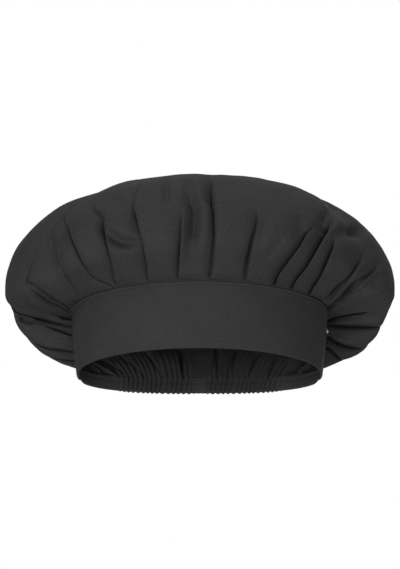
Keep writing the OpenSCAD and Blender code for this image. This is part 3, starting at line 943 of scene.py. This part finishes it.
# The weave runs up the middle of each panel between two folds
step_along = np.linalg.norm(np.roll(crown_grid, -1, axis=1) - crown_grid, axis=-1)
step_up = np.linalg.norm(np.diff(crown_grid, axis=0), axis=-1)
weave_left, weave_up = np.empty((rows, cols)), np.empty((rows, cols))
for first, stop in zip(panel_starts, panel_starts[1:] + [cols]):
    reach_along = np.cumsum(step_along[:, first:stop], axis=1)
    weave_left[:, first:stop] = reach_along - step_along[:, first:stop] - reach_along[:, -1:] / 2
    weave_up[:, first:stop] = np.concatenate([[0], np.cumsum(step_up[:, (first + stop) // 2])])[:, None]
weave_right = weave_left + step_along
quad_flat = np.stack([weave_left[:-1], weave_up[:-1], weave_right[:-1], weave_up[:-1],
                      weave_right[1:], weave_up[1:], weave_left[1:], weave_up[1:]], axis=-1)
tip_flat = np.stack([weave_left[-1], weave_up[-1], weave_right[-1], weave_up[-1],
                     np.zeros(cols), weave_up[-1] + TIP_CLOTH], axis=-1)
crown_flat = np.concatenate([quad_flat.reshape(-1, 2), tip_flat.reshape(-1, 2)])
crown_cloth = make_piece("crown_cloth", "crown", crown_vertices, crown_faces, crown_flat, twill)

# Strips of cloth. A loop is the outline across a strip, as offsets outwards and heights

def strip_piece(name, node, section, loop, flat_along, material=twill):
    """A closed strip: section holds the points of the loop at each step along it."""
    lengths = np.concatenate([[0], np.cumsum(np.hypot(*np.diff(loop, axis=1)))])
    flat = np.stack(np.broadcast_arrays(flat_along[:, None], lengths[None, :]), axis=-1)
    faces = closed_faces(*section.shape[:2])
    return make_piece(name, node, section.reshape(-1, 3), faces, flat.reshape(-1, 2), material)


def arc(centre_off, centre_z, radius, start, end, count):
    """Part of a loop, between two angles in degrees."""
    turn = np.radians(np.linspace(start, end, count))
    return np.stack([centre_off + radius * np.cos(turn), centre_z + radius * np.sin(turn)])


def wall(off, heights):
    """Straight part of a loop."""
    return np.stack([np.full_like(heights, off), heights])


# The band: its outer cloth is turned under at the lower edge, round the stiffener

BAND_COLS, BAND_ROWS, FACING_ROWS = 641, 44, 40
FOOT_CROWDING = 0.92
FACING_ABOVE = 0.15 * MM
# The cloth isn't quite even: size, length along the band and phase of its waves, which are lower at the foot
BAND_WAVES = [(1.0, 17 * MM, 0.8), (0.7, 9.5 * MM, 2.1)]
BAND_WAVE, FACING_WAVE = 0.22 * MM, 0.2 * MM
BAND_WAVE_LOW = 0.25
# Each stitch draws the cloth in, and the edge below the row of stitches rolls out
STITCH_DENT, STITCH_DENT_W = 0.12 * MM, 1.1 * MM
EDGE_ROLL, EDGE_ROLL_W, EDGE_ROLL_IN = 0.25 * MM, 1.2 * MM, 3.4 * MM
# The lower corners are rounded
CORNER_LIFT, CORNER_W = 1.6 * MM, 7 * MM
CORNER_POWER = 6
# The outer cloth is a little fuller than the stiffener, but not at the ends
BAND_BULGE = 1.6 * MM
BULGE_FADE = (130 * MM, 165 * MM)
HAIR = 0.01 * MM

band_mid = (LAYER_IN + LAYER_OUT) / 2
band_top_z = BAND_H - CLOTH_T / 2
turn_z = LAYER_OUT
topstitch_z = BAND_H - TOPSTITCH_IN
band_runs = np.linspace(-BAND_END, BAND_END, BAND_COLS)
run_grid = band_runs[:, None]

wall_heights = turn_z + (band_top_z - turn_z) * np.linspace(0, 1, BAND_ROWS) ** FOOT_CROWDING
top_turn = arc(band_mid, band_top_z, CLOTH_T / 2, 0, 180, 7)
inner_turn = arc(0, turn_z, LAYER_IN, 0, -180, 9)
outer_turn = arc(0, turn_z, LAYER_OUT, 180, 360, 13)
band_loop = np.hstack([wall(LAYER_OUT, wall_heights), top_turn[:, 1:-1], wall(LAYER_IN, wall_heights[::-1]),
                       inner_turn[:, 1:], outer_turn[:, :-1]])
band_offs, band_zs = band_loop[:, None, :]

band_share = np.clip(band_zs / BAND_H, 0, 1)
uneven = sum(size * (1 + np.sin(run_grid / length + phase)) for size, length, phase in BAND_WAVES)
wave = BAND_WAVE * uneven * (BAND_WAVE_LOW + (1 - BAND_WAVE_LOW) * band_share ** 2)
stitch_phase = 2 * math.pi * run_grid / STITCH_PITCH
stitch_dent = -STITCH_DENT * bell(band_zs - topstitch_z, STITCH_DENT_W) * (1 + np.cos(stitch_phase)) / 2
edge_roll = EDGE_ROLL * bell(band_zs - (BAND_H - EDGE_ROLL_IN), EDGE_ROLL_W)
at_corner = smooth_step(BAND_END - CORNER_W, BAND_END, np.abs(run_grid)) ** 2
corner_lift = CORNER_LIFT * at_corner * (1 - band_share) ** CORNER_POWER
bulge = BAND_BULGE * 4 * band_share * (1 - band_share) * (1 - smooth_step(*BULGE_FADE, np.abs(run_grid)))
relief = np.where(band_offs > LAYER_IN + HAIR, stitch_dent + edge_roll, 0.0)
band_section = on_rim(run_grid, band_zs + corner_lift, band_offs + wave + bulge + relief)
band_outer_cloth = strip_piece("band_outer_cloth", "band_outer", band_section, band_loop, band_runs)

facing_heights = np.linspace(turn_z + FACING_ABOVE, band_top_z, FACING_ROWS)
facing_low = arc(-band_mid, facing_heights[0], CLOTH_T / 2, 360, 180, 6)
facing_top = arc(-band_mid, facing_heights[-1], CLOTH_T / 2, 180, 0, 6)
facing_loop = np.hstack([wall(-LAYER_OUT, facing_heights), facing_top[:, 1:-1],
                         wall(-LAYER_IN, facing_heights[::-1]), facing_low[:, 1:-1]])
facing_offs, facing_zs = facing_loop[:, None, :]
facing_share = np.clip(facing_zs / BAND_H, 0, 1)
facing_lift = corner_lift[:, :1] * (1 - facing_share) ** CORNER_POWER
facing_wave = FACING_WAVE * uneven * facing_share
facing_section = on_rim(run_grid, facing_zs + facing_lift, facing_offs + facing_wave)[::-1]
band_facing_cloth = strip_piece("band_facing_cloth", "band_facing", facing_section, facing_loop, band_runs)

# The elasticated hem: a casing folded round the crown's edge, with a tunnel pinched off by its stitches

CASING_START = BAND_END + JOIN_W
ELASTIC_START = HALF_RIM - ELASTIC_LEN / 2
CASING_COLS, CASING_ROWS, FOOT_STEPS = 780, 22, 11
# Its ends slip in between the band's two cloths, thinner and with a higher foot
CASING_SLIP = 4 * MM
CASING_TAPER = 9 * MM
SLIM_END = 0.22
SLIP_LIFT = 1.2 * MM
FOOT_DROP = 0.7 * MM
TUNNEL_HALF = 1.5 * MM
PINCH_HALF = 0.6 * MM
PINCH_FROM = 0.35
LEAST_HALF = 0.1 * MM
# The ruffles lean as they go up, one way inside and the other outside, and are broad with narrow valleys
LEAN_INSIDE, LEAN_OUTSIDE = 0.5, -0.4
RUFFLE_BREADTH = 0.7
# They are lower at the stitches, and under each the foot hangs lower
RUFFLE_TOP_LESS = 0.15
RUFFLE_TOP = (0.55, 0.85)
SCALLOP, SCALLOP_MIDDLE = 0.45 * MM, 0.55

casing_half_run = HALF_RIM - CASING_START + CASING_SLIP
casing_runs = np.linspace(HALF_RIM - casing_half_run, HALF_RIM + casing_half_run, CASING_COLS)
casing_back = casing_runs[:, None] - HALF_RIM
slim = smooth_step(0, CASING_SLIP + CASING_TAPER, casing_half_run - np.abs(casing_back))
slim = SLIM_END + (1 - SLIM_END) * slim

casing_up = np.linspace(0, 1, CASING_ROWS)
pinch = smooth_step(PINCH_FROM, 1 - HEM_STITCH_IN / CASING_H, casing_up)
side_offs = TUNNEL_HALF + (PINCH_HALF - TUNNEL_HALF) * pinch
side_zs = TUNNEL_HALF + (CASING_H - TUNNEL_HALF) * casing_up
foot = arc(0, TUNNEL_HALF, TUNNEL_HALF, 0, -180, FOOT_STEPS)
outer_wall = np.hstack([[side_offs[::-1], side_zs[::-1]], foot[:, 1:-1], [-side_offs, side_zs]])
inner_offs = np.sign(outer_wall[0]) * np.maximum(np.abs(outer_wall[0]) - CLOTH_T, LEAST_HALF)
inner_wall = np.stack([inner_offs, np.maximum(outer_wall[1], CLOTH_T)])
casing_loop = np.hstack([outer_wall, inner_wall[:, ::-1]])
casing_offs, casing_zs = casing_loop[:, None, :]

casing_share = np.clip(casing_zs / CASING_H, 0, 1)
casing_side = np.sign(casing_offs)
ruffle_lean = np.where(casing_side < 0, LEAN_INSIDE, LEAN_OUTSIDE) * casing_share
ruffle = ((1 + np.sin(ruffle_turn(casing_back) + 2 * math.pi * ruffle_lean)) / 2) ** RUFFLE_BREADTH
ruffles = ruffle_size(casing_back)
swell = RUFFLE_OUT * ruffle * ruffles * (1 - RUFFLE_TOP_LESS * smooth_step(*RUFFLE_TOP, casing_share))
scallop = (SCALLOP * (SCALLOP_MIDDLE - ruffle) * ruffles - FOOT_DROP) * (1 - casing_share) ** 2
slip_lift = SLIP_LIFT * (1 - slim) * (1 - casing_share)
casing_section = on_rim(casing_runs[:, None], casing_zs + scallop + slip_lift,
                        casing_offs * slim + casing_side * swell)
rear_casing_cloth = strip_piece("rear_casing_cloth", "rear_casing", casing_section, casing_loop, casing_runs)

# Stitching

THREAD_SIDES, THREAD_RINGS = 8, 7
THREAD_END = 0.12
THREAD_ARCH = 0.12 * MM
THREAD_SIDE_W = 0.4 * THREAD_D
STITCH_PROUD = 0.02 * MM
STITCH_NEAR = 0.8 * MM
# How far the stitches stray from their line, in radians
STRAY, HEM_STRAY = 0.05, 0.06


def thread_points(middle, along, out, length):
    """A short thread with round ends, which arches a little out of the cloth."""
    side = np.cross(along, out)
    turn = np.linspace(0, 2 * math.pi, THREAD_SIDES, endpoint=False)[:, None]
    rings = []
    for share in np.linspace(-1, 1, THREAD_RINGS):
        width = THREAD_D / 2 * max(THREAD_END, math.sqrt(1 - abs(share) ** 3))
        centre = middle + along * (share * length / 2) + out * (THREAD_ARCH * (1 - share * share))
        rings.append(centre + np.cos(turn) * side * width + np.sin(turn) * out * width)
    return np.concatenate(rings)


def stitch_piece(node, stitches, material):
    """One piece of many threads; each is its middle, direction along, direction out and length."""
    points, faces, flat = [], [], []
    ring, turn = np.meshgrid(np.arange(THREAD_RINGS), np.arange(THREAD_SIDES), indexing="ij")
    tube = closed_faces(THREAD_RINGS, THREAD_SIDES)
    for k, (middle, along, out, length) in enumerate(stitches):
        start = k * THREAD_RINGS * THREAD_SIDES
        points.append(thread_points(middle, along, out, length))
        faces += [[start + corner for corner in face] for face in tube]
        flat.append(np.stack([ring * length / THREAD_RINGS, turn * THREAD_SIDE_W], axis=-1).reshape(-1, 2))
    points, flat = np.concatenate(points), np.concatenate(flat)
    return make_piece(f"{node}_thread", node, points, faces, flat, material)


def flat_vector(xy):
    return np.array([xy[0], xy[1], 0.0])


def stitch_runs(start, end):
    """Lengths along the rim of the stitches of a row."""
    count = math.floor((end - start) / STITCH_PITCH)
    return (start + end) / 2 + (np.arange(count) - (count - 1) / 2) * STITCH_PITCH


def surface_off(run, z, strip_runs, section, side):
    """Offset of a strip's surface at a length along the rim and a height, outside (1) or inside (-1)."""
    column = int(np.argmin(np.abs(strip_runs - run)))
    outward = rim_frame(np.array(strip_runs[column]))[1]
    base = on_rim(strip_runs[column], z, 0.0)[:2]
    offs = (section[column, :, :2] - base) @ outward
    close = np.abs(section[column, :, 2] - z) < STITCH_NEAR
    return (side * offs[close]).max() * side


def stitch_at(run, z, strip_runs, section, side, length, stray):
    """A stitch on a strip, along the rim but for how far it strays."""
    along, outward = rim_frame(np.array(run))
    off = surface_off(run, z, strip_runs, section, side)
    middle = on_rim(run, z, off + side * STITCH_PROUD)
    tilt = rng.normal(0, stray)
    way = flat_vector(along) * math.cos(tilt) + np.array([0, 0, math.sin(tilt)])
    return middle, way, side * flat_vector(outward), length


top_stitches = [stitch_at(run, topstitch_z, band_runs, band_section, 1, STITCH_LEN, STRAY)
                for run in stitch_runs(-BAND_END, BAND_END)]
topstitch = stitch_piece("band_topstitch", top_stitches, thread)

hem_z = CASING_H - HEM_STITCH_IN
hem_stitches = [stitch_at(run, hem_z, casing_runs, casing_section, side, STITCH_LEN, HEM_STRAY)
                for run in stitch_runs(CASING_START, 2 * HALF_RIM - CASING_START) for side in (-1, 1)]
hem_stitch = stitch_piece("casing_stitch", hem_stitches, tack_thread)


def tack_piece(node, run, z_middle, threads, strip_runs, section, side):
    """A tack of short threads above each other."""
    heights = z_middle + (np.arange(threads) - (threads - 1) / 2) * TACK_PITCH
    stitches = [stitch_at(run, z, strip_runs, section, side, TACK_LEN, STRAY) for z in heights]
    return stitch_piece(node, stitches, tack_thread)


end_tack_run = BAND_END - TACK_LEN
end_tacks = [tack_piece(f"{hand}_end_bartack", run, CASING_H / 2, TACK_THREADS, band_runs, band_section, 1)
             for hand, run in (("left", -end_tack_run), ("right", end_tack_run))]

ELASTIC_MIDDLE = 2.5 * MM
elastic_tack_run = ELASTIC_START + TACK_LEN / 2
elastic_tacks = [tack_piece(f"{hand}_elastic_tack", run, CLOTH_T + ELASTIC_MIDDLE, ELASTIC_TACK_THREADS,
                            casing_runs, casing_section, -1)
                 for hand, run in (("right", elastic_tack_run), ("left", 2 * HALF_RIM - elastic_tack_run))]

# The small blank label, a ribbon folded in two that leans up and out of the end of the band

LABEL_RUN = BAND_END - 2.5 * MM
LABEL_Z = 38.2 * MM
LABEL_OUT = 4.6 * MM
LABEL_ROOT = 0.6 * MM
LABEL_W = 3.6 * MM
LABEL_T = 0.3 * MM
LABEL_FOLD = 0.4 * MM
LABEL_LEAN = math.radians(36)
LABEL_CURL = 0.5 * MM
LABEL_STEPS, LABEL_TURN_STEPS, LABEL_COLS = 11, 9, 9

label_along, label_out = (flat_vector(way) for way in rim_frame(np.array(LABEL_RUN)))
label_rise = np.array([0, 0, 1.0])
label_way = label_out * math.cos(LABEL_LEAN) + label_rise * math.sin(LABEL_LEAN)
label_side = label_rise * math.cos(LABEL_LEAN) - label_out * math.sin(LABEL_LEAN)
label_foot = on_rim(LABEL_RUN, LABEL_Z, LAYER_OUT)


def label_layer(radius):
    """A fold of ribbon, as distances outwards and from its middle plane: out, round its end and back."""
    end = LABEL_OUT - LABEL_FOLD
    straight = np.linspace(-LABEL_ROOT, end, LABEL_STEPS, endpoint=False)
    apart = np.full_like(straight, radius)
    turn = arc(end, 0, radius, -90, 90, LABEL_TURN_STEPS)
    return np.hstack([[straight, -apart], turn, [straight[::-1], apart]])


label_loop = np.hstack([label_layer(LABEL_FOLD), label_layer(LABEL_FOLD - LABEL_T)[:, ::-1]])
label_reach, label_apart = label_loop[:, None, :]
label_across = np.linspace(-0.5, 0.5, LABEL_COLS)[:, None]
label_bow = LABEL_CURL * (1 - 4 * label_across ** 2) * np.clip(label_reach / LABEL_OUT, 0, 1) ** 2
label_section = (label_foot + label_way * label_reach[..., None]
                 + label_side * (label_across * LABEL_W)[..., None]
                 + label_along * (label_apart + label_bow)[..., None])
ribbon = woven_material("label_ribbon_cloth", RIBBON_WHITE, pitch=0.5 * MM, roughness=0.6, sheen=0.0)
label_ribbon = strip_piece("size_label_ribbon", "size_label", label_section, label_loop,
                           label_across[:, 0] * LABEL_W, ribbon)

# What each piece moves with

for piece in [band_outer_cloth, band_facing_cloth, topstitch, label_ribbon, *end_tacks]:
    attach(piece, "hat")
for piece in elastic_tacks:
    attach(piece, "rear_hem")
for piece in (crown_cloth, rear_casing_cloth, hem_stitch):
    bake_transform(piece)

# Floor, light and world

def seen_share(tree):
    """One where a surface is looked at, straight or in a gloss or a glass, and zero where it only lights."""
    light_path = add_node(tree, "ShaderNodeLightPath").outputs
    through = add_math(tree, "MAXIMUM", light_path["Is Glossy Ray"], light_path["Is Transmission Ray"])
    return add_math(tree, "MAXIMUM", light_path["Is Camera Ray"], through)


WHITE = (1, 1, 1, 1)
# The hat is seen from below, so the floor lies as deep as under a hat that is worn
FLOOR_Z = -1.9
FLOOR_HALF = 40.0
FLOOR_GLOW = 0.7
FLOOR_DARK, FLOOR_LIGHT = (0.78, 0.78, 0.78), (0.82, 0.82, 0.82)
floor_corners = [(x * FLOOR_HALF, y * FLOOR_HALF, FLOOR_Z) for x, y in [(-1, -1), (1, -1), (1, 1), (-1, 1)]]
floor_mesh = bpy.data.meshes.new("floor")
floor_mesh.from_pydata(floor_corners, [], [(0, 1, 2, 3)])
floor = add_object("floor", floor_mesh)
floor_material, floor_tree, floor_shader = new_material("pale_floor")
floor_grain = add_noise(floor_tree, {"Scale": 3.0})
set_inputs(floor_tree, floor_shader, {
    "Base Color": add_ramp(floor_tree, floor_grain, (0.0, FLOOR_DARK), (1.0, FLOOR_LIGHT)),
    "Roughness": 0.9,
    "Emission Color": WHITE,
    "Emission Strength": add_math(floor_tree, "MULTIPLY", seen_share(floor_tree), FLOOR_GLOW),
})
floor_mesh.materials.append(floor_material)

# Lamps: name, place, width and height in metres, and power in watts
LAMPS = [
    ("front", (-0.42, -2.5, -0.76), 2.4, 0.6, 44),
    ("left", (-1.8, -1.4, 1.3), 1.0, 1.0, 11),
    ("right", (2.3, -1.2, 0.2), 1.0, 1.0, 6),
    ("top", (0.4, 0.1, 2.3), 1.2, 1.2, 25),
    ("back", (0.3, 2.4, 0.4), 1.4, 1.2, 26),
]
LAMP_AIM = Vector((0, 0, 70 * MM))

for name, place, width, height, power in LAMPS:
    lamp = bpy.data.lights.new(name, "AREA")
    lamp.shape = "ELLIPSE"
    lamp.size = width
    lamp.size_y = height
    lamp.energy = power
    holder = add_object(name, lamp)
    holder.location = place
    holder.rotation_euler = (LAMP_AIM - Vector(place)).to_track_quat("-Z", "Y").to_euler()

WORLD_LIGHT = 0.05
world = bpy.data.worlds.new("studio")
bpy.context.scene.world = world
world.use_nodes = True
sky = world.node_tree
backdrop = add_node(sky, "ShaderNodeBackground", {"Color": WHITE, "Strength": 1.0})
ambient = add_node(sky, "ShaderNodeBackground", {"Color": WHITE, "Strength": WORLD_LIGHT})
mixed = add_node(sky, "ShaderNodeMixShader",
                 {"Fac": seen_share(sky), 1: ambient.outputs[0], 2: backdrop.outputs[0]})
sky.links.new(mixed.outputs[0], sky.nodes["World Output"].inputs["Surface"])

bpy.context.scene.view_settings.view_transform = "Standard"
